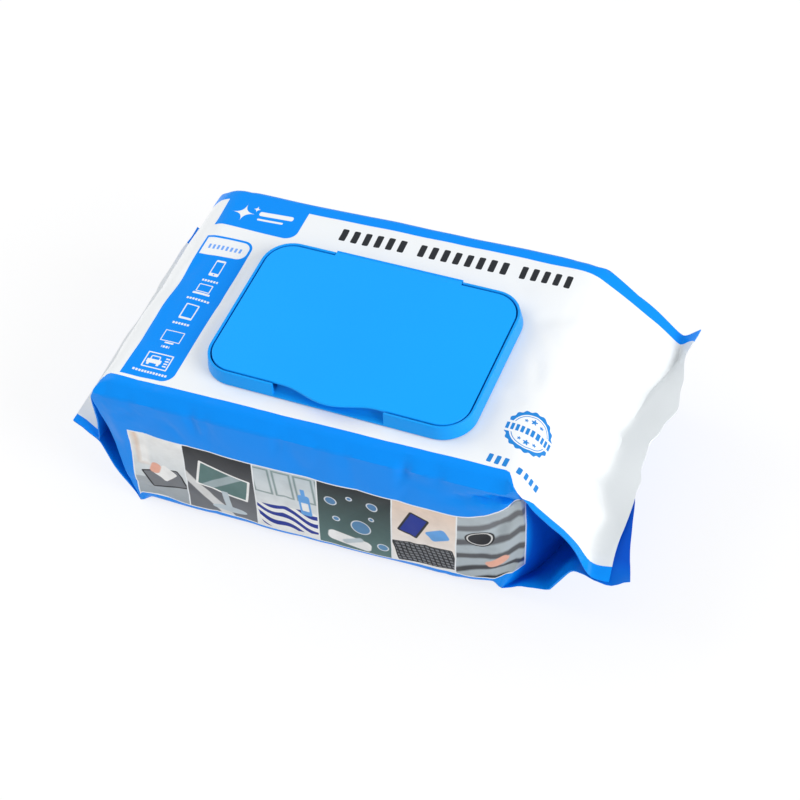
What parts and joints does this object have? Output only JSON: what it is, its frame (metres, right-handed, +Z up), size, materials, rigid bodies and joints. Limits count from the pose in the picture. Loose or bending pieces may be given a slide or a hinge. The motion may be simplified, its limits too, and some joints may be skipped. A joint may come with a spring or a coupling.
{
  "type": "wet wipes pack",
  "caption": "Gusseted film pack of moist wipes with flat end fins, and a hinged flip lid in a raised frame on its top panel.",
  "frame": {"origin": "centre of the bounding box's bottom, on the plane that the pack rests on", "axes": "+X along the pack towards the loose sloping end, +Y towards the lid's hinge, +Z up out of the lid"},
  "size_m": [0.2314, 0.1181, 0.0785],
  "materials": {
    "film": "satin printed film",
    "frame_plastic": "fine satin moulding",
    "lid_plastic": "fine satin moulding",
    "label_film": "smooth pale film"
  },
  "bodies": {
    "pack": {"film_pack": "film", "lid_frame": "frame_plastic", "peel_label": "label_film"},
    "lid": {"flip_lid": "lid_plastic"}
  },
  "joints": [
    {"name": "lid_hinge", "type": "hinge", "parent": "pack", "child": "lid", "pos_m": [-0.0052, 0.0272, 0.07795], "axis": [-1, 0, 0], "range_deg": [0, 135]}
  ]
}
